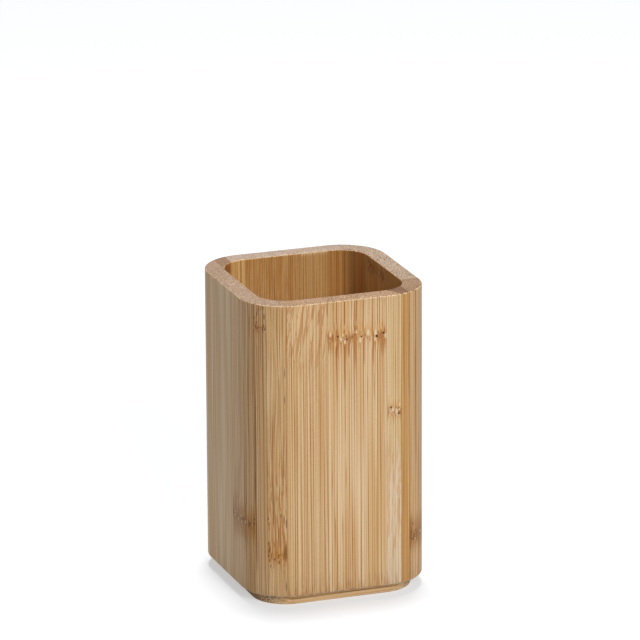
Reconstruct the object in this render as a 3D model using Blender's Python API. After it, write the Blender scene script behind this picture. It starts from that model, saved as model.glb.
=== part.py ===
"""Square tumbler of laminated bamboo, for toothbrushes.

Upright strips of bamboo are glued side by side into four walls and corner
blocks. The glued blank is milled to a square with round corners, bored out to
a square hollow, and rebated at the foot for a base of three level strips.
"""
import math

import bmesh
import bpy
from mathutils import Vector

MM = 0.001

# Outside, and the table's surface is at height zero
WIDTH = 70.0 * MM
DEPTH = 70.0 * MM
HEIGHT = 116.0 * MM
CORNER_RADIUS = 17.3 * MM

# The hollow
WALL = 7.0 * MM
HOLLOW_RADIUS = 11.3 * MM

# The base: how much of it shows below the walls, how far it goes up into
# its rebate, and how far the walls lap over it
FOOT_HEIGHT = 4.2 * MM
SEAT_DEPTH = 3.6 * MM
SEAT_WIDTH = 2.7 * MM

# Rounding of the edges that a hand meets
RIM_EASE = 0.6 * MM
MOUTH_EASE = 0.5 * MM
SKIRT_EASE = 1.0 * MM
FOOT_EASE = 0.5 * MM

# Room for the glue between two pieces
GLUE_LINE = 0.3 * MM

# Widths, left to right, of the blocks that fill the corners beside the walls
LEFT_BLOCK = 5.2 * MM
RIGHT_BLOCK = 3.2 * MM
# The right wall is milled from a thicker board than the left one
RIGHT_BOARD = 9.7 * MM

# Joints between neighbouring strips, as shares of the board they divide:
# front and back from left to right, the sides and the base from front to back
FRONT_JOINT_SHARES = (0.354, 0.862)
BACK_JOINT_SHARES = (0.148, 0.627, 0.871)
LEFT_JOINT_SHARES = (0.08, 0.359, 0.631, 0.906)
RIGHT_JOINT_SHARES = (0.238, 0.499, 0.759)
BASE_JOINT_SHARES = (0.333, 0.667)
# The last front strip leans over at its right joint, by this share of its width
LEAN_SHARE = 0.6

CORNER_STEPS = 24
EASE_STEPS = 4
SMOOTH_ANGLE = math.radians(30)
# A point counts as lying on a cut if it is nearer than this
ON_CUT = GLUE_LINE / 1000

HALF_WIDTH = WIDTH / 2
HALF_DEPTH = DEPTH / 2
FOOT_INSET = WALL - SEAT_WIDTH
REBATE_INSET = FOOT_INSET - GLUE_LINE
SHOULDER = FOOT_HEIGHT + SEAT_DEPTH

X = Vector((1, 0, 0))
Y = Vector((0, 1, 0))


def clear_scene():
    for old in list(bpy.data.objects):
        bpy.data.objects.remove(old, do_unlink=True)


def rounded_square(inset, radius, height):
    """One level outline, inset from the outer faces, counter-clockwise."""
    centre_x = HALF_WIDTH - inset - radius
    centre_y = HALF_DEPTH - inset - radius
    corners = ((1, 1), (-1, 1), (-1, -1), (1, -1))
    points = []
    for turn, (side_x, side_y) in enumerate(corners):
        for step in range(CORNER_STEPS + 1):
            angle = (turn + step / CORNER_STEPS) * math.pi / 2
            x = side_x * centre_x + radius * math.cos(angle)
            y = side_y * centre_y + radius * math.sin(angle)
            points.append(Vector((x, y, height)))
    return points


def outer_outline(inset, height):
    """Outline that keeps the centres of the outer corners."""
    return rounded_square(inset, CORNER_RADIUS - inset, height)


def hollow_outline(inset, height):
    """Outline that keeps the centres of the hollow's corners."""
    return rounded_square(inset, HOLLOW_RADIUS + WALL - inset, height)


def quarter_round(radius):
    """Points of an eased edge: how far in, and how far from the edge's end."""
    for step in range(EASE_STEPS + 1):
        angle = step / EASE_STEPS * math.pi / 2
        yield radius * (1 - math.cos(angle)), radius * (1 - math.sin(angle))


def loft(outlines, closed):
    """Skin between level outlines: a ring if closed, else a capped block."""
    bm = bmesh.new()
    rings = [[bm.verts.new(point) for point in outline] for outline in outlines]
    pairs = list(zip(rings, rings[1:]))
    if closed:
        pairs.append((rings[-1], rings[0]))
    else:
        bm.faces.new(rings[0])
        bm.faces.new(rings[-1])
    for low, high in pairs:
        for here, after in zip(range(len(low)), [*range(1, len(low)), 0]):
            bm.faces.new((low[here], low[after], high[after], high[here]))
    bmesh.ops.recalc_face_normals(bm, faces=bm.faces)
    return bm


def milled_walls():
    """The four walls in one, before they are parted into strips."""
    outlines = [outer_outline(REBATE_INSET, FOOT_HEIGHT)]
    for across, along in quarter_round(SKIRT_EASE):
        outlines.append(outer_outline(along, FOOT_HEIGHT + across))
    for across, along in quarter_round(RIM_EASE):
        outlines.append(outer_outline(across, HEIGHT - along))
    for across, along in quarter_round(MOUTH_EASE):
        outlines.append(hollow_outline(WALL - along, HEIGHT - across))
    outlines.append(hollow_outline(WALL, SHOULDER))
    outlines.append(outer_outline(REBATE_INSET, SHOULDER))
    return loft(outlines, closed=True)


def milled_base():
    """The whole base, with its lower edge eased."""
    outlines = []
    for across, along in quarter_round(FOOT_EASE):
        outlines.append(outer_outline(FOOT_INSET + along, across))
    outlines.append(outer_outline(FOOT_INSET, SHOULDER - GLUE_LINE))
    return loft(outlines, closed=False)


def bamboo(name, tone):
    """Oiled bamboo in one tone, given as the screen shows it, 0 to 255."""
    material = bpy.data.materials.new(name)
    material.use_nodes = True
    colour = [((level / 255 + 0.055) / 1.055) ** 2.4 for level in tone]
    shader = material.node_tree.nodes["Principled BSDF"]
    shader.inputs["Base Color"].default_value = (*colour, 1)
    shader.inputs["Roughness"].default_value = 0.55
    shader.inputs["Metallic"].default_value = 0
    material.diffuse_color = (*colour, 1)
    return material


def part_off(name, milled, cuts, tone):
    """One strip: what is left of the milled form behind every cut.

    A cut is a point on an upright plane and the direction that is cut away.
    """
    bm = milled.copy()
    for point, away in cuts:
        everything = [*bm.verts, *bm.edges, *bm.faces]
        bmesh.ops.bisect_plane(
            bm, geom=everything, dist=ON_CUT, plane_co=point, plane_no=away, clear_outer=True
        )
        rims = [edge for edge in bm.edges if edge.is_boundary]
        if rims:
            bmesh.ops.triangle_fill(bm, edges=rims, normal=away, use_beauty=True)
    bmesh.ops.recalc_face_normals(bm, faces=bm.faces)
    mesh = bpy.data.meshes.new(name)
    bm.to_mesh(mesh)
    bm.free()
    mesh.shade_smooth()
    mesh.set_sharp_from_angle(angle=SMOOTH_ANGLE)
    mesh.materials.append(bamboo(name, tone))
    strip = bpy.data.objects.new(name, mesh)
    bpy.context.collection.objects.link(strip)
    return strip


def joints_along(start, end, shares):
    """Ends of a board and the joints between its strips, in order."""
    return [start, *(start + (end - start) * share for share in shares), end]


def between(axis, low, high):
    """Cuts that leave what lies between two joints, less half a glue line."""
    return [(axis * (low + GLUE_LINE / 2), -axis), (axis * (high - GLUE_LINE / 2), axis)]


def board_reach(thickness):
    """How far a side board reaches to the front and back at its inner face."""
    across = CORNER_RADIUS - min(thickness, CORNER_RADIUS)
    return HALF_DEPTH - CORNER_RADIUS + math.sqrt(CORNER_RADIUS ** 2 - across ** 2)


def side_strips(name, milled, face_cut, thickness, shares, tones):
    """The strips of a side wall, from front to back."""
    reach = board_reach(thickness)
    joints = joints_along(-reach, reach, shares)
    last = len(tones) - 1
    for number, tone in enumerate(tones):
        before, after = between(Y, joints[number], joints[number + 1])
        cuts = [face_cut]
        if number > 0:
            cuts.append(before)
        if number < last:
            cuts.append(after)
        part_off(f"{name}_{number + 1}", milled, cuts, tone)


clear_scene()
walls = milled_walls()
base = milled_base()

# Left wall: its board is as thick as the wall, so the hollow's side is its face
left_face = WALL - HALF_WIDTH
left_tones = ((206, 160, 102), (196, 156, 108), (203, 169, 124), (208, 173, 128), (200, 162, 112))
side_strips("left_wall_strip", walls, (X * left_face, X), WALL, LEFT_JOINT_SHARES, left_tones)

# Blocks that fill the two left corners between that board and front and back
left_run = left_face + LEFT_BLOCK
block_cuts = [(X * (left_face + GLUE_LINE), -X), (X * (left_run - GLUE_LINE / 2), X)]
part_off("left_corner_block_front", walls, [*block_cuts, (Vector(), Y)], (212, 166, 102))
part_off("left_corner_block_back", walls, [*block_cuts, (Vector(), -Y)], (186, 138, 88))

# Right wall, and where the blocks beside it meet the front and the back
right_face = HALF_WIDTH - RIGHT_BOARD
right_tones = ((206, 160, 112), (204, 166, 116), (198, 158, 108), (205, 168, 120))
right_cut = (X * (right_face + GLUE_LINE / 2), -X)
side_strips("right_wall_strip", walls, right_cut, RIGHT_BOARD, RIGHT_JOINT_SHARES, right_tones)
right_run = right_face - RIGHT_BLOCK

# Front wall, whose last strip has a leaning joint to the corner block
front_joints = joints_along(left_run, right_run, FRONT_JOINT_SHARES)
lean = (front_joints[-1] - front_joints[-2]) * LEAN_SHARE
lean_foot = Vector((right_run, -HALF_DEPTH, 0))
lean_away = Vector((WALL, lean, 0)).normalized()
lean_gap = lean_away * (GLUE_LINE / 2)
front_tones = ((214, 174, 118), (216, 178, 122), (226, 198, 158))
for number, tone in enumerate(front_tones):
    left_cut, right_side = between(X, front_joints[number], front_joints[number + 1])
    if number == len(front_tones) - 1:
        right_side = (lean_foot - lean_gap, lean_away)
    part_off(f"front_wall_strip_{number + 1}", walls, [left_cut, right_side, (Vector(), Y)], tone)

# Back wall
back_joints = joints_along(left_run, right_run, BACK_JOINT_SHARES)
back_tones = ((214, 170, 104), (192, 148, 96), (200, 158, 106), (186, 138, 84))
for number, tone in enumerate(back_tones):
    cuts = between(X, back_joints[number], back_joints[number + 1])
    part_off(f"back_wall_strip_{number + 1}", walls, [*cuts, (Vector(), -Y)], tone)

# Blocks that fill the two right corners
block_cuts = between(X, right_run, right_face)
front_cuts = [(lean_foot + lean_gap, -lean_away), block_cuts[1], (Vector(), Y)]
part_off("right_corner_block_front", walls, front_cuts, (204, 152, 82))
part_off("right_corner_block_back", walls, [*block_cuts, (Vector(), -Y)], (198, 150, 92))

# Base of three strips that lie level, their grain running left to right
base_reach = HALF_DEPTH - FOOT_INSET
base_joints = joints_along(-base_reach, base_reach, BASE_JOINT_SHARES)
base_tones = ((200, 158, 106), (208, 170, 122), (196, 154, 102))
for number, tone in enumerate(base_tones):
    before, after = between(Y, base_joints[number], base_joints[number + 1])
    cuts = []
    if number > 0:
        cuts.append(before)
    if number < len(base_tones) - 1:
        cuts.append(after)
    part_off(f"base_strip_{number + 1}", base, cuts, tone)

walls.free()
base.free()
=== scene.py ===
import math

import bmesh
import bpy
from mathutils import Matrix, Vector


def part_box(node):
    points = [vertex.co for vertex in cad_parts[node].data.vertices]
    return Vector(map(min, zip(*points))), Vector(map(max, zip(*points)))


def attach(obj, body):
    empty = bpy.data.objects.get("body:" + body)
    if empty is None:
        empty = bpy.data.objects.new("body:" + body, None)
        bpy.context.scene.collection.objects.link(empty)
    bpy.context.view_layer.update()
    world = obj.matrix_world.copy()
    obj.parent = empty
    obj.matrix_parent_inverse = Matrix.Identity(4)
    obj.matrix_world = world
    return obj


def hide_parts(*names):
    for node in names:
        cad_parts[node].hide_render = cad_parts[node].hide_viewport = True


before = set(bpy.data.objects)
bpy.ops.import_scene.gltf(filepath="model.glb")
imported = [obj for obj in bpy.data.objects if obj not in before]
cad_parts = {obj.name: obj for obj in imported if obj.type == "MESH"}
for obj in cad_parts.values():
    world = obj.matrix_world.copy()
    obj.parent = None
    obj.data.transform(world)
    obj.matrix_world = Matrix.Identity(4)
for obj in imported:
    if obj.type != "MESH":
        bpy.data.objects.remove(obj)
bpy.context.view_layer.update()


# The glued blank, milled to its final form
# Upright bamboo strips, glued up into a block, are milled on the outside to a
# square with round corners, bored out, and rebated at the foot for the base.
MM = 0.001
WIDTH = 70 * MM
HEIGHT = 116 * MM
CORNER_RADIUS = 17.3 * MM
WALL = 7.0 * MM
HOLLOW_RADIUS = 11.3 * MM
FOOT_HEIGHT = 4.2 * MM
SHOULDER = 7.8 * MM
SEAT_INSET = 4.15 * MM
RIM_EASE = 0.6 * MM
MOUTH_EASE = 0.5 * MM
SKIRT_EASE = 1.0 * MM
CORNER_CUTS = 32
EASE_CUTS = 5
# Heights nearer than this are the same. A face is level if its normal points up
# or down by this share, and an edge is hard from this angle, in radians.
NEAR = 0.01 * MM
LEVEL = 0.9
HARD = 1.0


def shape(piece, mode):
    """Makes a piece the only one chosen, in object or edit mode."""
    if bpy.context.object and bpy.context.object.mode != "OBJECT":
        bpy.ops.object.mode_set(mode="OBJECT")
    bpy.ops.object.select_all(action="DESELECT")
    piece.select_set(True)
    bpy.context.view_layer.objects.active = piece
    bpy.ops.object.mode_set(mode=mode)


def pick(kind, test):
    """Selects, in edit mode, just the edges or faces that pass a test."""
    bpy.ops.mesh.select_mode(type="EDGE" if kind == "edges" else "FACE")
    bpy.ops.mesh.select_all(action="DESELECT")
    mesh = bmesh.from_edit_mesh(bpy.context.object.data)
    for part in getattr(mesh, kind):
        if test(part):
            part.select_set(True)
    bmesh.update_edit_mesh(bpy.context.object.data)


def upright(edge):
    first, last = edge.verts
    return abs(first.co.z - last.co.z) > MM


def bevel(size, cuts):
    """Rounds the chosen edges, or flattens them with a single cut."""
    bpy.ops.mesh.bevel(
        offset=size, segments=cuts, profile=0.5, affect="EDGES", clamp_overlap=False
    )


def round_block(width, low, high, radius):
    """Adds, in edit mode, a square block whose four upright edges are rounded."""
    middle = (0, 0, (low + high) / 2)
    bpy.ops.mesh.select_all(action="DESELECT")
    bpy.ops.mesh.primitive_cube_add(size=1, location=middle)
    bpy.ops.transform.resize(value=(width, width, high - low), center_override=middle)
    mesh = bmesh.from_edit_mesh(bpy.context.object.data)
    chosen = {edge.index for edge in mesh.edges if edge.select and upright(edge)}
    pick("edges", lambda edge: edge.index in chosen)
    bevel(radius, CORNER_CUTS)


def open_ends():
    """Takes the level faces off a block, so only its skin is left."""
    pick("faces", lambda face: abs(face.normal.z) > LEVEL)
    bpy.ops.mesh.delete(type="ONLY_FACE")


def at_height(edge, height):
    return all(abs(vert.co.z - height) < NEAR for vert in edge.verts)


def new_piece(name):
    """An empty mesh object to model in."""
    piece = bpy.data.objects.new(name, bpy.data.meshes.new(name))
    bpy.context.scene.collection.objects.link(piece)
    shape(piece, "EDIT")
    return piece


walls = new_piece("milled_walls")
round_block(WIDTH, FOOT_HEIGHT, HEIGHT, CORNER_RADIUS)
round_block(WIDTH - 2 * WALL, SHOULDER, HEIGHT, HOLLOW_RADIUS)
round_block(WIDTH - 2 * SEAT_INSET, FOOT_HEIGHT, SHOULDER, CORNER_RADIUS - SEAT_INSET)
open_ends()


def outside(part):
    """Whether an edge's or face's middle lies on the tumbler's outer skin."""
    middle = sum((vert.co for vert in part.verts), Vector()) / len(part.verts)
    corner = WIDTH / 2 - CORNER_RADIUS
    across = Vector((max(abs(middle.x) - corner, 0), max(abs(middle.y) - corner, 0)))
    return across.length > CORNER_RADIUS - WALL / 4


pick("faces", lambda face: not outside(face))
bpy.ops.mesh.flip_normals()
for height in (HEIGHT, SHOULDER, FOOT_HEIGHT):
    pick("edges", lambda edge: edge.is_boundary and at_height(edge, height))
    bpy.ops.mesh.bridge_edge_loops()


def ease(height, ring_test, size):
    """Rounds the edge that runs all round at one height, as sanding does."""
    pick(
        "edges",
        lambda edge: at_height(edge, height)
        and len(edge.link_faces) == 2
        and edge.calc_face_angle(0) > HARD
        and ring_test(edge),
    )
    bevel(size, EASE_CUTS)


ease(HEIGHT, outside, RIM_EASE)
ease(HEIGHT, lambda edge: not outside(edge), MOUTH_EASE)
ease(FOOT_HEIGHT, outside, SKIRT_EASE)
bpy.ops.object.mode_set(mode="OBJECT")

# Left wall
# A flat board of five upright strips, glued edge to edge, as thick as the
# wall. The round corners leave a sliver of its first and last strip.
HAIRLINE = 0.04 * MM
# Points this near a cut lie on it, in metres. A face is sawn if it faces the cut's
# way by this share, and its edge is taken off from this angle, in radians.
ON_CUT = 1e-7
FLUSH = 0.9999
ARRIS = 0.5
SMOOTH = math.radians(30)


def part_off(name, stock, cuts):
    """A copy of the stock, sawn at each plane: a point on it, and the side that falls away."""
    shape(stock, "OBJECT")
    bpy.ops.object.duplicate(linked=False)
    piece = bpy.context.object
    piece.name = piece.data.name = name
    shape(piece, "EDIT")
    for point, away in cuts:
        bpy.ops.mesh.select_all(action="SELECT")
        bpy.ops.mesh.bisect(
            plane_co=point, plane_no=away, use_fill=True, clear_outer=True, threshold=ON_CUT
        )
    sawn = [away.normalized() for point, away in cuts]

    def arris(edge):
        flat = [any(face.normal.dot(away) > FLUSH for away in sawn) for face in edge.link_faces]
        return sum(flat) == 1 and edge.calc_face_angle(0) > ARRIS

    pick("edges", arris)
    bevel(HAIRLINE, 1)
    bpy.ops.object.mode_set(mode="OBJECT")
    bpy.ops.object.shade_smooth_by_angle(angle=SMOOTH)
    bpy.ops.object.modifier_add(type="WEIGHTED_NORMAL")
    piece.modifiers[-1].keep_sharp = True
    bpy.ops.object.modifier_apply(modifier=piece.modifiers[-1].name)
    return piece


def seam(before, after, axis):
    """Where two neighbouring strips meet: the middle of the glue between them."""
    return (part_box(before)[1][axis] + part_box(after)[0][axis]) / 2


def seams(wall, strips, axis):
    """The joints between a wall's strips, in order."""
    return [
        seam(f"{wall}_strip_{number}", f"{wall}_strip_{number + 1}", axis)
        for number in range(1, strips)
    ]


def between(axis, joints, number):
    """Cuts at the joints before and after a strip. None stands for a board's own end."""
    before, after = joints[number - 1:number + 1]
    cuts = []
    if before is not None:
        cuts.append((axis * before, -axis))
    if after is not None:
        cuts.append((axis * after, axis))
    return cuts


def add(tree, kind, sockets=None, **settings):
    """One node of a material, with its sockets set or linked."""
    made = tree.nodes.new("ShaderNode" + kind)
    for key, value in settings.items():
        setattr(made, key, value)
    for socket, value in (sockets or {}).items():
        if isinstance(value, bpy.types.NodeSocket):
            tree.links.new(value, made.inputs[socket])
        else:
            made.inputs[socket].default_value = value
    return made


def calc(tree, operation, first, second=0.0, third=0.0, clamp=False):
    sockets = {0: first, 1: second, 2: third}
    return add(tree, "Math", sockets, operation=operation, use_clamp=clamp).outputs[0]


def ramp(tree, value, low, high, start=0.0, end=1.0):
    """A value eased from start at low to end at high."""
    sockets = {"Value": value, "From Min": low, "From Max": high, "To Min": start, "To Max": end}
    return add(tree, "MapRange", sockets, interpolation_type="SMOOTHSTEP").outputs[0]


def vector(tree, operation, first, second=(0, 0, 0)):
    """A sum with vectors. A length or a dot product comes out as a number."""
    made = add(tree, "VectorMath", {0: first, 1: second}, operation=operation)
    return made.outputs["Value" if operation in ("LENGTH", "DOT_PRODUCT") else "Vector"]


def stretch(tree, position, scale):
    return vector(tree, "MULTIPLY", position, scale)


def blend(tree, share, first, second, mode="MIX"):
    """Two colours mixed; 6 and 7 are the colour sockets of the Mix node."""
    sockets = {0: share, 6: first, 7: second}
    return add(tree, "Mix", sockets, data_type="RGBA", blend_type=mode).outputs[2]


def new_group(name, inputs, outputs):
    """A node group with its sockets, given as name and kind, and its two end nodes."""
    tree = bpy.data.node_groups.new(name, "ShaderNodeTree")
    for socket, kind in inputs:
        tree.interface.new_socket(socket, in_out="INPUT", socket_type="NodeSocket" + kind)
    for socket, kind in outputs:
        tree.interface.new_socket(socket, in_out="OUTPUT", socket_type="NodeSocket" + kind)
    return tree, tree.nodes.new("NodeGroupInput"), tree.nodes.new("NodeGroupOutput")


def noise(tree, position, detail=0.0, roughness=0.5, colour=False):
    sockets = {"Vector": position, "Scale": 1.0, "Detail": detail, "Roughness": roughness}
    return add(tree, "TexNoise", sockets).outputs["Color" if colour else "Fac"]


def voronoi(tree, position, dimensions="3D", randomness=1.0):
    """Distance from the middle of the nearest cell, and three chance numbers of that cell."""
    sockets = {"Vector": position, "Scale": 1.0, "Randomness": randomness}
    cell = add(tree, "TexVoronoi", sockets, voronoi_dimensions=dimensions)
    chance = add(tree, "SeparateColor", {0: cell.outputs["Color"]})
    return cell.outputs["Distance"], chance.outputs


def strayed(tree, position, scale, reach):
    """A position pushed aside by slow noise."""
    push = noise(tree, stretch(tree, position, scale), 1.0, colour=True)
    push = vector(tree, "SUBTRACT", push, (0.5, 0.5, 0.5))
    push = add(tree, "VectorMath", {0: push, "Scale": reach}, operation="SCALE").outputs[0]
    return vector(tree, "ADD", position, push)


# Fibre bundles run the length of a strip like dark wires in paler pith. A sawn
# face shows them as fine upright lines, and beside a knuckle as short strokes.
# Column tells one fibre from the next, for borders that are ragged along them.
tree, entry, leave = new_group(
    "fibres",
    [("Position", "Vector"), ("Across", "Vector"), ("Spacing", "Float"), ("Length", "Float"),
     ("Stray", "Float"), ("Bend", "Float")],
    [("Bundle", "Float"), ("Pith", "Float"), ("Band", "Float"), ("Column", "Float")],
)
bend = entry.outputs["Bend"]
drawn = strayed(tree, entry.outputs["Position"], (0.06, 0.06, 0.018), entry.outputs["Stray"])
column = noise(tree, stretch(tree, drawn, (1.3, 1.3, 0.012)), 1.0, 0.6)
column = ramp(tree, column, 0.25, 0.75, -1.0, 1.0)
tree.links.new(column, leave.inputs["Column"])
drawn = strayed(tree, drawn, (0.3, 0.3, 0.14), calc(tree, "MULTIPLY", bend, 1.8))
over_spacing = calc(tree, "DIVIDE", 1.0, entry.outputs["Spacing"])
over_length = calc(tree, "DIVIDE", 1.0, entry.outputs["Length"])
scale = add(tree, "CombineXYZ", {0: over_spacing, 1: over_spacing, 2: over_length}).outputs[0]
scaled = stretch(tree, drawn, scale)
broad = noise(tree, stretch(tree, scaled, (0.4, 0.4, 1.4)), 1.0)
tree.links.new(ramp(tree, broad, 0.36, 0.64), leave.inputs["Band"])
share = ramp(tree, bend, 0.6, 1.0, 0.0, 0.6)
fade = noise(tree, stretch(tree, scaled, (1.0, 1.0, 1.2)))
fade = ramp(tree, fade, 0.34, 0.66, 0.35, 1.0)
fine = noise(tree, stretch(tree, scaled, (4.2, 4.2, 1.0)))
count = vector(tree, "DOT_PRODUCT", scaled, entry.outputs["Across"])
wander = noise(tree, stretch(tree, scaled, (0.5, 0.5, 0.5)), 1.0)
count = calc(tree, "MULTIPLY_ADD", count, 6.0, calc(tree, "MULTIPLY", wander, 15.0))
lines = calc(tree, "MULTIPLY", calc(tree, "SINE", count), 0.85)
lines = calc(tree, "ADD", lines, calc(tree, "MULTIPLY_ADD", fine, 3.0, -1.5))
pith = calc(tree, "MULTIPLY", ramp(tree, lines, -0.1, -0.9), fade)
tree.links.new(pith, leave.inputs["Pith"])
wider = calc(tree, "MULTIPLY_ADD", bend, 0.3, lines)
grooves = calc(tree, "MULTIPLY", ramp(tree, wider, 0.15, 1.1), fade)
distance, chance = voronoi(tree, stretch(tree, scaled, (1.6, 1.6, 0.0)), "2D", 0.65)
strength = calc(tree, "MULTIPLY", calc(tree, "SUBTRACT", chance[0], 0.4), fade)
wires = calc(tree, "MULTIPLY", ramp(tree, distance, 0.3, 0.12), strength)
wires = calc(tree, "MAXIMUM", grooves, wires)
distance, chance = voronoi(tree, stretch(tree, drawn, (1.0, 1.0, 0.14)))
strength = calc(tree, "MULTIPLY_ADD", chance[0], 0.8, 0.2)
strokes = calc(tree, "MULTIPLY", ramp(tree, distance, 0.46, 0.24), strength)
wires = add(tree, "Mix", {0: share, 2: wires, 3: strokes}).outputs[0]
tree.links.new(wires, leave.inputs["Bundle"])
fibres = tree

# A knuckle is where the cane had a wall across it. Brown bands run up and down
# from its row to a point, and along the row the fibres curl round pale flecks.
tree, entry, leave = new_group(
    "knuckle",
    [("Position", "Vector"), ("Column", "Float"), ("Height", "Float"), ("Reach", "Float"),
     ("Hang", "Float")],
    [("Stain", "Float"), ("Curl", "Float"), ("Fleck", "Float")],
)
position = entry.outputs["Position"]
up = add(tree, "SeparateXYZ", {0: position}).outputs[2]
wave = noise(tree, stretch(tree, position, (0.16, 0.16, 0.0)), 1.0)
wave = calc(tree, "MULTIPLY_ADD", wave, 4.0, -2.0)
rise = calc(tree, "SUBTRACT", up, calc(tree, "ADD", entry.outputs["Height"], wave))
apart = calc(tree, "ABSOLUTE", rise)
below = calc(tree, "MULTIPLY_ADD", calc(tree, "LESS_THAN", rise, 0.0), 0.95, -0.45)
below = calc(tree, "MULTIPLY_ADD", below, entry.outputs["Hang"], 1.0)
span = calc(tree, "MULTIPLY_ADD", entry.outputs["Column"], 0.5, 1.9)
span = calc(tree, "MULTIPLY", calc(tree, "MULTIPLY", span, below), entry.outputs["Reach"])
bell = calc(tree, "SUBTRACT", 1.0, calc(tree, "DIVIDE", apart, span), clamp=True)
tips = noise(tree, stretch(tree, position, (1.9, 1.9, 0.03)), 1.0)
tips = calc(tree, "MULTIPLY_ADD", bell, 0.26, tips)
tree.links.new(ramp(tree, tips, 0.65, 0.77), leave.inputs["Stain"])
row = ramp(tree, apart, 2.4, 0.6)
contour = noise(tree, stretch(tree, position, (0.8, 0.8, 0.55)), 1.0)
contour = calc(tree, "ABSOLUTE", calc(tree, "SUBTRACT", contour, 0.5))
curl = calc(tree, "MULTIPLY", ramp(tree, contour, 0.04, 0.012), row)
tree.links.new(curl, leave.inputs["Curl"])
distance, chance = voronoi(tree, stretch(tree, position, (0.8, 0.8, 0.45)))
fleck = calc(tree, "MULTIPLY", ramp(tree, distance, 0.5, 0.25), ramp(tree, chance[1], 0.4, 0.6))
tree.links.new(calc(tree, "MULTIPLY", fleck, row), leave.inputs["Fleck"])
knuckle = tree

# Where the fibres were sawn at a slant, browner strokes with pointed ends lie
# over the paler ground like flames
tree, entry, leave = new_group(
    "flame",
    [("Position", "Vector"), ("Column", "Float"), ("Lean", "Float")],
    [("Flame", "Float")],
)
rise = add(tree, "SeparateXYZ", {0: entry.outputs["Position"]}).outputs[2]
lift = calc(tree, "MULTIPLY", entry.outputs["Column"], 3.5)
across = calc(tree, "MULTIPLY", rise, calc(tree, "MULTIPLY", entry.outputs["Lean"], -1.0))
lift = add(tree, "CombineXYZ", {0: across, 2: lift}).outputs[0]
lifted = vector(tree, "ADD", entry.outputs["Position"], lift)
flames = noise(tree, stretch(tree, lifted, (1.2, 1.2, 0.13)), 2.0, 0.6)
tree.links.new(ramp(tree, flames, 0.48, 0.57), leave.inputs["Flame"])
flame = tree

# One pit of a knuckle, a small dark hole, or a short dark stroke if it is tall,
# and a pale patch near it, partly pale pith and partly a painted highlight
tree, entry, leave = new_group(
    "pit",
    [("Position", "Vector"), ("Place", "Vector"), ("Size", "Float"), ("Tall", "Float"),
     ("Beside", "Vector")],
    [("Pit", "Float"), ("PaleAndHighlight", "Float")],
)
away = vector(tree, "SUBTRACT", entry.outputs["Position"], entry.outputs["Place"])
size = entry.outputs["Size"]
squat = calc(tree, "DIVIDE", 1.0, entry.outputs["Tall"])
squat = add(tree, "CombineXYZ", {0: 1.0, 1: 1.0, 2: squat}).outputs[0]
hole = calc(tree, "DIVIDE", vector(tree, "LENGTH", stretch(tree, away, squat)), size)
tree.links.new(ramp(tree, hole, 1.2, 0.5), leave.inputs["Pit"])
beside = stretch(tree, vector(tree, "SUBTRACT", away, entry.outputs["Beside"]), (1.0, 1.0, 0.45))
beside = calc(tree, "DIVIDE", vector(tree, "LENGTH", beside), size)
tree.links.new(ramp(tree, beside, 1.45, 0.5), leave.inputs["PaleAndHighlight"])
pit = tree

# The cut ends of the fibres, on the rim and the underside, are speckled with
# the bundles, and the edge towards the sides is ragged like a comb, with pale
# teeth that are partly wear and partly a painted highlight
tree, entry, leave = new_group(
    "cut_ends",
    [("Position", "Vector"), ("Normal", "Vector"), ("Bundle", "Float")],
    [("Cut", "Float"), ("Speckle", "Float"), ("WornAndHighlight", "Float")],
)
position = entry.outputs["Position"]
facing = calc(tree, "ABSOLUTE", add(tree, "SeparateXYZ", {0: entry.outputs["Normal"]}).outputs[2])
comb = calc(tree, "MULTIPLY_ADD", entry.outputs["Bundle"], -0.3, 0.08)
tree.links.new(ramp(tree, calc(tree, "ADD", facing, comb), 0.45, 0.9), leave.inputs["Cut"])
distance = voronoi(tree, stretch(tree, position, (1.5, 1.5, 0.02)))[0]
grit = noise(tree, stretch(tree, position, (3.2, 1.8, 0.1)), 1.0, 0.6)
grit = calc(tree, "MULTIPLY", ramp(tree, grit, 0.41, 0.59), 0.64)
cloud = noise(tree, stretch(tree, position, (0.16, 0.16, 0.1)), 1.0, 0.6)
grit = calc(tree, "MULTIPLY_ADD", ramp(tree, cloud, 0.35, 0.65), 0.12, grit)
grit = calc(tree, "MULTIPLY_ADD", ramp(tree, distance, 0.15, 0.6), 0.25, grit)
tree.links.new(grit, leave.inputs["Speckle"])
# Pale teeth along the eased edges, partly wear and partly a painted highlight
edge = calc(tree, "MULTIPLY", ramp(tree, facing, 0.25, 0.55), ramp(tree, facing, 0.99, 0.85))
teeth = ramp(tree, noise(tree, stretch(tree, position, (2.0, 2.0, 0.02))), 0.46, 0.58)
tree.links.new(calc(tree, "MULTIPLY", edge, teeth), leave.inputs["WornAndHighlight"])
cut_ends = tree

# The glue shows as a hairline where two strips meet
tree, entry, leave = new_group(
    "glue_line",
    [("Position", "Vector"), ("Point", "Vector"), ("Across", "Vector")],
    [("Line", "Float")],
)
gap = vector(tree, "SUBTRACT", entry.outputs["Position"], entry.outputs["Point"])
gap = calc(tree, "ABSOLUTE", vector(tree, "DOT_PRODUCT", gap, entry.outputs["Across"]))
tree.links.new(ramp(tree, gap, 0.22, 0.03), leave.inputs["Line"])
glue_line = tree


def tone(levels):
    """A colour as the screen shows it, 0 to 255, in the renderer's terms."""
    return (*(((level / 255 + 0.055) / 1.055) ** 2.4 for level in levels), 1)


def use(tree, group, sockets):
    """A node group placed in a material."""
    return add(tree, "Group", sockets, node_tree=group).outputs


WHITE = (255, 255, 255)
BAND_TONE = (240, 226, 198)
DUST_TONE = (248, 247, 245)
PIT_TONE = (66, 30, 8)
# The pale edge tone stands partly for wear and partly for a painted highlight
WORN_AND_HIGHLIGHT_TONE = (232, 208, 172)
GLUE_TONE = (120, 78, 42)
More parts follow.
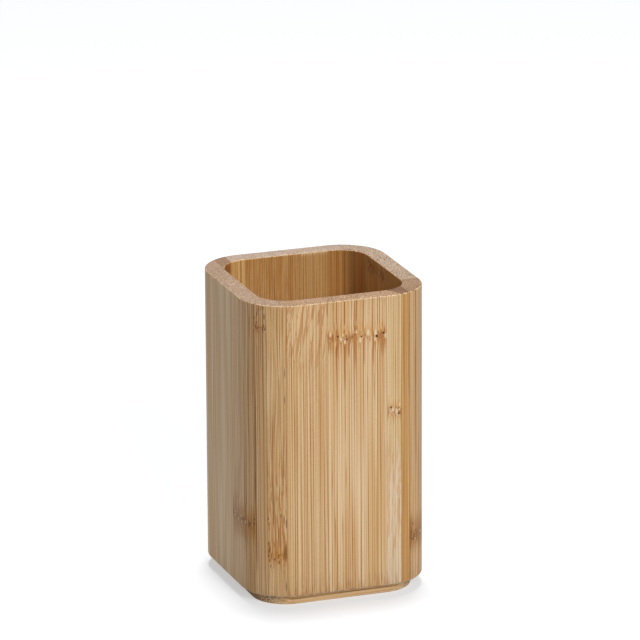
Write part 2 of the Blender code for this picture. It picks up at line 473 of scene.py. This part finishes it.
# How strongly each mark shows, and how much darker than its stain a curl is
STAIN_SHOWS = 0.85
FLECK_SHOWS = 0.7
CURL_SHOWS = 0.9
PALE_AND_HIGHLIGHT_SHOWS = 0.75
WORN_AND_HIGHLIGHT_SHOWS = 0.7
GLUE_SHOWS = 0.35
CURL_SHARES = (0.78, 0.66, 0.54)
SHINE = 0.2
BUMP_STRENGTH = 0.35
BUMP_HEIGHT = 0.06 * MM
# How far the pattern is moved for each seed, and heights past both ends of a
# strip, for what runs off it, in millimetres
SEED_STEPS = (37.3, 91.7, 53.1)
PAST_FOOT = -20
PAST_RIM = 140


def bamboo(name, grain, ends, seed, joints, knuckles=(), pits=(), washes=(), flames=(),
           spacing=1.0, length=110.0, stray=1.0, contrast=1.0, bands=0.5, hang=0.0,
           stain=(160, 104, 54), shade=None, across=(1, 0, 0), level=False):
    """Sanded, oiled bamboo.

    Grain is the bundles' tone, then the pith's darker and lighter one, and ends
    are the dark and light tones of cut fibres. Joints are the glued cuts.
    A knuckle is its height, reach, strength and how much its fibres curl. Stain
    is its brown, and hang shifts that brown downwards.
    A pit is its place, size, how tall it is for its width, its depth, and where
    its pale patch, partly a painted highlight, lies from it.
    A wash is a tone between two heights, how ragged its ends are, and its
    strength. Flames are the same, and how far they lean.
    Painted shade darkens a strip towards one side, as a shadow would: the
    direction, where it starts, where it is full, and its tone.
    Spacing, length and stray are the bundles', contrast is how dark they are,
    and bands how much the broad darker stripes show. Across is the direction
    from bundle to bundle, and level turns the grain from upright to level.
    Places, heights and sizes are in millimetres.
    """
    material = bpy.data.materials.new(name)
    material.use_nodes = True
    tree = material.node_tree
    shader = tree.nodes["Principled BSDF"]
    turn = (0, math.radians(90), 0) if level else (0, 0, 0)
    in_mm = (1 / MM, 1 / MM, 1 / MM)
    coordinates = add(tree, "TexCoord").outputs["Object"]
    place = add(tree, "Mapping", {"Vector": coordinates, "Scale": in_mm}).outputs[0]
    grained = add(tree, "Mapping", {"Vector": place, "Rotation": turn}).outputs[0]
    shift = tuple(seed * step for step in SEED_STEPS)
    shifted = vector(tree, "ADD", grained, shift)
    normal = add(tree, "NewGeometry").outputs["Normal"]
    normal = add(tree, "Mapping", {"Vector": normal, "Rotation": turn}, vector_type="VECTOR")
    up = add(tree, "SeparateXYZ", {0: grained}).outputs[2]

    def between_heights(low, high, soft, column):
        """One from one height to another, with ends that are ragged by column if given."""
        rise = calc(tree, "MULTIPLY_ADD", column, soft * 0.5, up) if column else up
        into = ramp(tree, rise, low, low + soft)
        return calc(tree, "MULTIPLY", into, ramp(tree, rise, high, high - soft))

    bend = 0.0
    for height, reach, strength, curls in knuckles:
        share = between_heights(height - 2.4 * reach, height + 2.4 * reach, 2.2 * reach, None)
        bend = calc(tree, "MAXIMUM", bend, calc(tree, "MULTIPLY", share, strength))
    fibre = use(tree, fibres, {"Position": shifted, "Across": across, "Spacing": spacing,
                               "Length": length, "Stray": stray, "Bend": bend})
    column = fibre["Column"]
    bundle = calc(tree, "MULTIPLY", fibre["Bundle"], contrast)
    cut = use(tree, cut_ends, {"Position": shifted, "Normal": normal.outputs[0],
                               "Bundle": fibre["Bundle"]})
    dark, middle, light = (tone(levels) for levels in grain)
    colour = blend(tree, fibre["Pith"], middle, light)
    share = calc(tree, "MULTIPLY", fibre["Band"], bands)
    banded = blend(tree, share, tone(WHITE), tone(BAND_TONE))
    colour = blend(tree, 1.0, colour, banded, "MULTIPLY")
    dust = ramp(tree, noise(tree, stretch(tree, shifted, (3.2, 3.2, 1.4))), 0.3, 0.7)
    dusted = blend(tree, dust, tone(DUST_TONE), tone(WHITE))
    colour = blend(tree, 1.0, colour, dusted, "MULTIPLY")
    # Painted shade: the strip darker towards one side
    if shade:
        towards, start, end, levels = shade
        share = ramp(tree, vector(tree, "DOT_PRODUCT", place, towards), start, end)
        colour = blend(tree, share, colour, tone(levels), "MULTIPLY")
    for low, high, soft, levels, strength in washes:
        share = calc(tree, "MULTIPLY", between_heights(low, high, soft, column), strength)
        colour = blend(tree, share, colour, tone(levels))
    for low, high, soft, levels, strength, lean in flames:
        made = use(tree, flame, {"Position": shifted, "Column": column, "Lean": lean})
        share = calc(tree, "MULTIPLY", between_heights(low, high, soft, column), strength)
        colour = blend(tree, calc(tree, "MULTIPLY", share, made["Flame"]), colour, tone(levels))
    colour = blend(tree, bundle, colour, dark)
    height = calc(tree, "MULTIPLY", bundle, -0.3)
    for knuckle_height, reach, strength, curls in knuckles:
        made = use(tree, knuckle, {"Position": shifted, "Column": column, "Reach": reach,
                                   "Height": knuckle_height + shift[2], "Hang": hang})
        browner = calc(tree, "MULTIPLY", made["Stain"], STAIN_SHOWS * strength)
        colour = blend(tree, browner, colour, tone(stain))
        fleck = calc(tree, "MULTIPLY", made["Fleck"], FLECK_SHOWS * curls)
        colour = blend(tree, fleck, colour, light)
        curl = calc(tree, "MULTIPLY", made["Curl"], CURL_SHOWS * curls)
        curl_tone = tone(level * share for level, share in zip(stain, CURL_SHARES))
        colour = blend(tree, curl, colour, curl_tone)
        height = calc(tree, "MULTIPLY_ADD", made["Curl"], -0.4, height)
    for spot, size, tall, depth, beside in pits:
        made = use(tree, pit, {"Position": grained, "Place": spot, "Size": size, "Tall": tall,
                               "Beside": beside or (0, 0, 0)})
        if beside:
            # The pale patch beside a pit is partly pith and partly a painted highlight
            colour = blend(tree, calc(tree, "MULTIPLY", made["PaleAndHighlight"], PALE_AND_HIGHLIGHT_SHOWS), colour, light)
        share = calc(tree, "MULTIPLY", made["Pit"], depth)
        colour = blend(tree, share, colour, tone(PIT_TONE))
        height = calc(tree, "MULTIPLY_ADD", made["Pit"], -0.15 * depth, height)
    ends_dark, ends_light = (tone(levels) for levels in ends)
    end_colour = blend(tree, cut["Speckle"], ends_dark, ends_light)
    colour = blend(tree, cut["Cut"], colour, end_colour)
    # Pale teeth on the eased edges: partly wear, partly a painted highlight
    worn_and_highlight = calc(tree, "MULTIPLY", cut["WornAndHighlight"], WORN_AND_HIGHLIGHT_SHOWS)
    colour = blend(tree, worn_and_highlight, colour, tone(WORN_AND_HIGHLIGHT_TONE))
    for point, across in joints:
        line = use(tree, glue_line, {"Position": place, "Point": point / MM, "Across": across})
        share = calc(tree, "MULTIPLY", line["Line"], GLUE_SHOWS)
        colour = blend(tree, share, colour, tone(GLUE_TONE))
    tree.links.new(colour, shader.inputs["Base Color"])
    shader.inputs["Specular IOR Level"].default_value = SHINE
    rough = calc(tree, "MULTIPLY_ADD", bundle, 0.1, 0.5)
    rough = calc(tree, "MULTIPLY_ADD", cut["Cut"], 0.12, rough)
    tree.links.new(rough, shader.inputs["Roughness"])
    open_grain = calc(tree, "MULTIPLY", cut["Cut"], 0.5)
    height = calc(tree, "MULTIPLY_ADD", cut["Speckle"], open_grain, height)
    sockets = {"Strength": BUMP_STRENGTH, "Distance": BUMP_HEIGHT, "Height": height}
    bump = add(tree, "Bump", sockets)
    tree.links.new(bump.outputs[0], shader.inputs["Normal"])
    return material


X = Vector((1, 0, 0))
Y = Vector((0, 1, 0))
HALF = WIDTH / 2
FRONT_HALF = [(Vector(), Y)]
BACK_HALF = [(Vector(), -Y)]
LEFT_ENDS = ((104, 74, 44), (192, 164, 140))
left_face = seam("left_wall_strip_2", "left_corner_block_front", 0)


def dress(node, stock, cuts, slot, halves=(), **finish):
    """Parts a strip off the stock, gives it its bamboo, and lets it stand for its node."""
    piece = part_off(node + "_milled", stock, [*halves, *cuts])
    piece.data.materials.clear()
    piece.data.materials.append(bamboo(node, joints=cuts, **finish))
    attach(piece, "root")
    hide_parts(node)
    return piece


# The joint to the front corner block was planed a little out of square: it
# leans outwards from where it meets the hollow
BLOCK_LEAN = 1.93 * MM
into_turn = math.sqrt(HOLLOW_RADIUS ** 2 - (HALF - WALL - HOLLOW_RADIUS + left_face) ** 2)
lean_in = Vector((left_face, WALL + HOLLOW_RADIUS - HALF - into_turn, 0))
corner_away = Vector((WALL + HOLLOW_RADIUS, -BLOCK_LEAN, 0)).normalized()
left_joints = [None, *seams("left_wall", 5, 1), None]


def skin(along):
    """How far the outer skin is from the middle at a place along a side, in millimetres."""
    centre = (HALF - CORNER_RADIUS) / MM
    turned = max(abs(along) - centre, 0)
    return centre + math.sqrt((CORNER_RADIUS / MM) ** 2 - turned ** 2)


def side_marks(rows):
    """Pits on the left skin, each by how far back and how high, size, how tall and depth."""
    return [((-skin(y), y, z), size, tall, depth, None) for y, z, size, tall, depth in rows]


high_marks = side_marks([
    (-30.2, 111.6, 0.34, 4.0, 0.6), (-27.9, 112.4, 0.3, 3.0, 0.55),
    (-28.4, 114.0, 0.26, 4.4, 0.5), (-26.9, 110.6, 0.36, 1.6, 0.55),
    (-27.7, 109.0, 0.32, 2.0, 0.65), (-27.4, 107.4, 0.26, 4.4, 0.6),
    (-28.1, 107.1, 0.3, 2.0, 0.6), (-30.0, 108.0, 0.3, 3.0, 0.6),
    (-30.4, 107.0, 0.26, 4.4, 0.6), (-29.1, 99.0, 0.18, 50.0, 0.45),
    (-29.7, 106.4, 0.28, 3.0, 0.6), (-29.3, 114.6, 0.24, 4.0, 0.45),
    (-30.0, 114.8, 0.24, 3.0, 0.45), (-26.8, 46.2, 0.3, 22.0, 0.4),
])
low_marks = side_marks([
    (-20.2, 31.6, 0.42, 1.2, 0.7), (-23.9, 31.0, 0.42, 1.2, 0.7),
    (-26.3, 33.3, 0.36, 1.4, 0.7), (-26.3, 31.5, 0.36, 1.4, 0.7),
    (-16.1, 33.9, 0.4, 1.4, 0.6), (-12.0, 31.5, 0.42, 1.2, 0.6),
])
left_finishes = [
    dict(grain=((122, 79, 37), (182, 146, 105), (206, 177, 135)), seed=1, contrast=1.2,
         knuckles=[(107, 4, 0.5, 1.0)], pits=high_marks),
    dict(grain=((149, 104, 64), (201, 167, 124), (218, 189, 145)), seed=2, contrast=1.25,
         knuckles=[(31, 6, 0.9, 1.0)], pits=low_marks, bands=0.7, stain=(130, 82, 16),
         # Painted shade darkens this strip towards its round front corner
         shade=(Y, -14, -26, (221, 216, 211)),
         washes=[(22, 40, 8, (157, 105, 20), 0.6)]),
    dict(grain=((174, 139, 97), (202, 174, 137), (213, 189, 156)), seed=3, spacing=1.8,
         bands=1.0, contrast=0.7),
    dict(grain=((174, 138, 95), (201, 170, 132), (211, 186, 149)), seed=4, spacing=1.8,
         bands=1.0, contrast=0.7),
    dict(grain=((174, 134, 90), (196, 164, 122), (208, 180, 142)), seed=5),
]
for number, finish in enumerate(left_finishes, 1):
    inner_face = (lean_in, corner_away) if number < 3 else (X * left_face, X)
    cuts = [inner_face, *between(Y, left_joints, number)]
    dress(f"left_wall_strip_{number}", walls, cuts, "bamboo_side", ends=LEFT_ENDS, across=Y,
          **finish)

# Left corner blocks
# Narrow upright strips that fill the corners between the left board and the
# front and back walls. The round corner cuts them slantwise, which bends their grain.
left_run = seam("left_corner_block_front", "front_wall_strip_1", 0)


def front_marks(rows):
    """Pits on the front skin, each by how far right and how high, size, how tall and depth."""
    return [((x, -skin(x), z), size, tall, depth, None) for x, z, size, tall, depth in rows]


block_marks = front_marks([
    (-28.9, 34.6, 0.34, 2.5, 0.5), (-28.7, 32.6, 0.3, 3.0, 0.5),
    (-24.9, 36.0, 0.32, 3.0, 0.5), (-23.8, 34.4, 0.26, 8.0, 0.6),
    (-23.0, 32.7, 0.26, 8.0, 0.6), (-28.9, 24.9, 0.36, 2.2, 0.6),
    (-28.5, 22.7, 0.34, 4.5, 0.55), (-28.9, 20.2, 0.38, 1.8, 0.6),
    (-28.6, 18.4, 0.34, 2.2, 0.55), (-25.8, 20.5, 0.36, 1.6, 0.6),
    (-27.0, 18.9, 0.4, 1.4, 0.5), (-25.6, 17.9, 0.34, 2.6, 0.6),
    (-23.4, 21.7, 0.9, 3.6, 0.4), (-28.3, 16.3, 0.3, 2.6, 0.5),
    (-23.2, 8.4, 0.24, 9.0, 0.6), (-23.3, 90.5, 0.22, 10.0, 0.5),
    (-23.4, 80.4, 0.22, 8.0, 0.5),
])
dress(
    "left_corner_block_front", walls, [(lean_in, -corner_away), (X * left_run, X)],
    "bamboo_golden", halves=FRONT_HALF,
    grain=((137, 84, 41), (195, 158, 112), (208, 177, 133)), ends=LEFT_ENDS, seed=6,
    knuckles=[(21, 4, 0.8, 1.0)], pits=block_marks, stain=(172, 112, 34),
    flames=[(12, 62, 12, (164, 105, 46), 0.7, 0.0)], stray=1.5, length=26, contrast=0.8,
)
dress(
    "left_corner_block_back", walls, [(X * left_face, -X), (X * left_run, X)],
    "bamboo_back", halves=BACK_HALF,
    grain=((140, 80, 30), (182, 124, 64), (194, 140, 80)), seed=7,
    ends=((96, 66, 44), (164, 132, 104)),
)

# Front wall
# Three upright strips. The last is a pale one, and its right joint leans over,
# because the strip was planed out of square.
LEAN = 3.72 * MM
right_run = seam("back_wall_strip_4", "right_corner_block_back", 0)
lean_out = Vector((right_run, -HALF, 0))
lean_away = Vector((WALL, LEAN, 0)).normalized()
front_joints = [left_run, *seams("front_wall", 3, 0), None]
FRONT_ENDS = ((74, 42, 14), (205, 168, 132))
FOOT_STROKES = (PAST_FOOT, 11, 8, (160, 106, 56), 0.6, 0.0)
front_row = [
    ((x, -skin(x), z), size, 1.0, depth, (beside, 0, lower))
    for x, z, size, depth, beside, lower in (
        (-5.9, 103.3, 0.4, 0.0, 0.0, 0.2), (-2.9, 102.5, 0.45, 0.9, 1.1, -1.1),
        (0.5, 101.2, 0.38, 0.9, -0.8, -1.0), (0.3, 102.4, 0.3, 0.8, -1.4, 0.4),
        (3.6, 102.6, 0.3, 0.7, 0.6, 0.9), (6.1, 101.6, 0.42, 0.9, -0.4, -1.3),
        (8.7, 102.8, 0.55, 0.0, 0.0, 0.0), (12.0, 101.2, 0.58, 1.0, -0.4, 1.2),
        (14.7, 102.1, 0.48, 0.95, 0.8, -1.1), (11.3, 100.2, 0.35, 0.0, 0.0, 0.0),
    )
]
pale_row = [
    ((x, -skin(x), z), size, 1.0, 0.9, (beside, 0, lower))
    for x, z, size, beside, lower in (
        (17.6, 73.3, 0.45, 0.7, -0.9), (20.6, 70.6, 0.5, -0.8, 0.8), (20.7, 72.8, 0.3, 0.4, 1.0),
    )
]
front_finishes = [
    dict(grain=((156, 96, 38), (203, 167, 120), (217, 188, 150)), seed=8, bands=0.4, stray=0.4,
         contrast=0.85,
         washes=[(92, PAST_RIM, 14, (213, 181, 136), 0.5)],
         flames=[(88, PAST_RIM, 12, (174, 120, 68), 0.7, 0.14), FOOT_STROKES]),
    dict(grain=((151, 91, 36), (215, 182, 141), (226, 201, 164)), seed=9, bands=0.9, contrast=0.92,
         knuckles=[(102, 3.5, 0.9, 0.8)], pits=front_row, hang=1.0, stray=0.5,
         washes=[(98, 107, 4, (206, 151, 72), 0.4)], stain=(166, 105, 50),
         flames=[(111, PAST_RIM, 5, (182, 132, 86), 0.5, 0.0), FOOT_STROKES]),
    dict(grain=((157, 102, 44), (210, 179, 134), (223, 199, 160)), seed=10, stray=0.5,
         contrast=0.8, bands=0.8,
         knuckles=[(72, 3, 0.9, 1.0)], pits=pale_row, hang=0.6,
         washes=[(PAST_FOOT, 62, 16, (218, 196, 166), 0.8), (68, 77, 3, (202, 148, 84), 0.4)],
         flames=[(8, 66, 14, (200, 152, 102), 0.65, 0.05), FOOT_STROKES], stain=(170, 114, 62)),
]
for number, finish in enumerate(front_finishes, 1):
    cuts = between(X, front_joints, number)
    slot = "bamboo_front"
    if number == 3:
        cuts.append((lean_out, lean_away))
        slot = "bamboo_pale"
    dress(f"front_wall_strip_{number}", walls, cuts, slot, halves=FRONT_HALF, ends=FRONT_ENDS,
          **finish)

# Back wall
# Four upright strips, of a browner board. The mouth's edge is worn rounder at
# the third, and a painted highlight below it stands for the light that edge catches.
back_joints = [left_run, *seams("back_wall", 4, 0), right_run]
BACK_ENDS = ((138, 108, 84), (196, 177, 161))
back_finishes = [
    dict(grain=((174, 115, 53), (233, 186, 121), (245, 207, 146)), seed=11),
    dict(grain=((162, 106, 51), (212, 163, 103), (225, 180, 121)), seed=12, bands=1.0,
         stray=1.4, length=50, spacing=0.8,
         flames=[(70, PAST_RIM, 12, (184, 128, 78), 0.45, 0.03)]),
    dict(grain=((160, 104, 50), (209, 162, 103), (219, 175, 114)), seed=13, contrast=0.7, bands=0.4,
         # A painted highlight along the top of this strip stands for the light on the worn, rounder
         # mouth edge
         washes=[(114.6, PAST_RIM, 0.8, (236, 200, 152), 0.6)]),
    dict(grain=((141, 85, 38), (191, 136, 75), (203, 153, 91)), seed=14, contrast=0.9, bands=0.6),
]
for number, finish in enumerate(back_finishes, 1):
    cuts = between(X, back_joints, number)
    slot = "bamboo_golden" if number in (1, 4) else "bamboo_back"
    dress(f"back_wall_strip_{number}", walls, cuts, slot, halves=BACK_HALF, ends=BACK_ENDS,
          **finish)

# Right corner blocks
# As the left ones, but narrower. The front one meets the leaning joint.
right_face = seam("right_corner_block_back", "right_wall_strip_4", 0)
RIGHT_ENDS = ((84, 54, 28), (203, 179, 156))
dress(
    "right_corner_block_front", walls, [(lean_out, -lean_away), (X * right_face, X)],
    "bamboo_golden", halves=FRONT_HALF,
    grain=((146, 100, 46), (191, 145, 88), (213, 170, 116)), ends=((84, 54, 34), (142, 106, 78)),
    seed=15,
)
# Its darker grain and its painted shade towards the right wall stand for the shadow the right wall
# casts inside the mouth
dress(
    "right_corner_block_back", walls, [(X * right_run, -X), (X * right_face, X)],
    "bamboo_back", halves=BACK_HALF,
    grain=((132, 82, 38), (182, 132, 76), (194, 150, 93)), ends=RIGHT_ENDS, seed=16,
    contrast=0.9, shade=(X, 22, 25, (205, 200, 196)),
)

# Right wall
# Four upright strips from a thicker board, which reaches round both corners. A
# knuckle's pits show inside the mouth.
right_joints = [None, *seams("right_wall", 4, 1), None]
right_marks = front_marks([
    (27.2, 26.2, 0.36, 1.6, 0.75), (26.3, 23.1, 0.38, 1.2, 0.75),
    (28.5, 23.3, 0.38, 1.2, 0.75), (27.2, 20.3, 0.36, 1.4, 0.75),
])
mouth_marks = [
    (((HALF - WALL) / MM, y, z), size, 1.3, 0.7, None)
    for y, z, size in (
        (16.0, 113.8, 0.4), (15.2, 111.6, 0.4), (14.2, 114.3, 0.3), (12.8, 112.4, 0.4),
        (11.4, 113.1, 0.36), (10.8, 114.6, 0.36), (16.2, 110.4, 0.3), (13.6, 110.2, 0.3),
    )
]
right_finishes = [
    dict(grain=((149, 97, 51), (200, 163, 119), (217, 184, 143)), seed=17, bands=0.9, contrast=1.2,
         knuckles=[(22, 4, 0.9, 1.0)], stain=(125, 74, 26), pits=right_marks,
         washes=[(13, 31, 6, (158, 99, 28), 0.6)], ends=((94, 62, 39), (178, 146, 115))),
    dict(grain=((156, 102, 46), (223, 171, 108), (235, 192, 136)), seed=18),
    dict(grain=((161, 107, 50), (228, 177, 113), (242, 200, 142)), seed=19,
         knuckles=[(112, 2, 0.6, 1.0)], pits=mouth_marks),
    # Painted shade darkens this strip towards the back corner, for the shadow inside the mouth
    dict(grain=((145, 94, 43), (205, 156, 99), (219, 179, 124)), seed=20,
         contrast=0.6, shade=(Y, 17.5, 22, (205, 186, 165))),
]
for number, finish in enumerate(right_finishes, 1):
    cuts = [(X * right_face, -X), *between(Y, right_joints, number)]
    dress(f"right_wall_strip_{number}", walls, cuts, "bamboo_side", across=Y,
          **{"ends": RIGHT_ENDS, **finish})
bpy.data.objects.remove(walls)

# Base
# Three strips that lie level, glued edge to edge, rounded to the walls' rebate
# and let up into it. It stands back under the walls like a plinth.
FOOT_INSET = 4.3 * MM
FOOT_EASE = 0.5 * MM
base_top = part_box("base_strip_2")[1].z
base = new_piece("milled_base")
round_block(WIDTH - 2 * FOOT_INSET, 0, base_top, CORNER_RADIUS - FOOT_INSET)
ease(0, lambda edge: True, FOOT_EASE)
bpy.ops.object.mode_set(mode="OBJECT")
base_joints = [None, *seams("base", 3, 1), None]
BASE_ENDS = ((122, 82, 46), (192, 152, 106))
base_finishes = [
    dict(grain=((166, 121, 69), (224, 185, 136), (236, 202, 160)), seed=21),
    dict(grain=((166, 120, 68), (216, 178, 128), (228, 196, 150)), seed=22),
    dict(grain=((160, 112, 60), (210, 168, 116), (224, 186, 138)), seed=23),
]
for number, finish in enumerate(base_finishes, 1):
    cuts = between(Y, base_joints, number)
    dress(f"base_strip_{number}", base, cuts, "bamboo_base", level=True, ends=BASE_ENDS, **finish)
bpy.data.objects.remove(base)

# Floor
# A plain white sheet. Where the camera looks at it, it reflects less and gives off
# light, so that it shows as white and holds only a soft shadow of the tumbler.
SHEET_SIZE = 8
SHEET_ROUGHNESS = 0.9
SHEET_TONE = (229, 233, 238)
SEEN_TONE = (195, 198, 202)
SEEN_GLOW = 0.5


def seen_share(tree):
    """One for what the camera sees, straight, in a reflection or through glass."""
    rays = add(tree, "LightPath").outputs
    seen = calc(tree, "MAXIMUM", rays["Is Camera Ray"], rays["Is Glossy Ray"])
    return calc(tree, "MAXIMUM", seen, rays["Is Transmission Ray"])


bpy.ops.object.select_all(action="DESELECT")
bpy.ops.mesh.primitive_plane_add(size=1, location=(0, 0, 0))
floor = bpy.context.object
floor.name = "floor"
floor.data.transform(Matrix.Scale(SHEET_SIZE, 4))
material = bpy.data.materials.new("white_sheet")
material.use_nodes = True
tree = material.node_tree
shader = tree.nodes["Principled BSDF"]
shader.inputs["Roughness"].default_value = SHEET_ROUGHNESS
shader.inputs["Specular IOR Level"].default_value = 0.0
seen = seen_share(tree)
sheet = blend(tree, seen, tone(SHEET_TONE), tone(SEEN_TONE))
tree.links.new(sheet, shader.inputs["Base Color"])
tree.links.new(calc(tree, "MULTIPLY", seen, SEEN_GLOW), shader.inputs["Emission Strength"])
shader.inputs["Emission Color"].default_value = (1, 1, 1, 1)
floor.data.materials.append(material)

# Studio light
# A dim white room, a soft light straight in front and a little above, and a
# strong small one overhead that draws the shadow in close round the foot.
ROOM_LIGHT = 0.15
scene = bpy.context.scene
world = bpy.data.worlds.new("studio")
scene.world = world
world.use_nodes = True
tree = world.node_tree
room = tree.nodes["Background"]
room.inputs["Color"].default_value = (1, 1, 1, 1)
strength = ramp(tree, seen_share(tree), 0.0, 1.0, ROOM_LIGHT, 1.0)
tree.links.new(strength, room.inputs["Strength"])


def soft_light(name, spot, size, power):
    """A square light that faces the tumbler."""
    lamp = bpy.data.lights.new(name, "AREA")
    lamp.shape = "SQUARE"
    lamp.size = size
    lamp.energy = power
    holder = bpy.data.objects.new(name, lamp)
    holder.location = spot
    aim = Vector((0, 0, HEIGHT / 2)) - Vector(spot)
    holder.rotation_euler = aim.to_track_quat("-Z", "Y").to_euler()
    scene.collection.objects.link(holder)


soft_light("key_light", spot=(0.02, -1.57, 0.84), size=0.55, power=17)
soft_light("top_light", spot=(0.09, 0.25, 2.3), size=0.46, power=40)

# Camera
# A long lens from the front left, a little above the tumbler.
LENS = 318.01
SENSOR_WIDTH = 36
CAMERA_SPOT = (-0.67366, -1.87699, 0.70776)
CAMERA_TURN = (73.012, 0.2974, -19.9078)
lens = bpy.data.cameras.new("camera")
lens.sensor_width = SENSOR_WIDTH
lens.lens = LENS
camera = bpy.data.objects.new("camera", lens)
camera.location = CAMERA_SPOT
camera.rotation_euler = [math.radians(angle) for angle in CAMERA_TURN]
scene.collection.objects.link(camera)
scene.camera = camera
scene.view_settings.view_transform = "Standard"
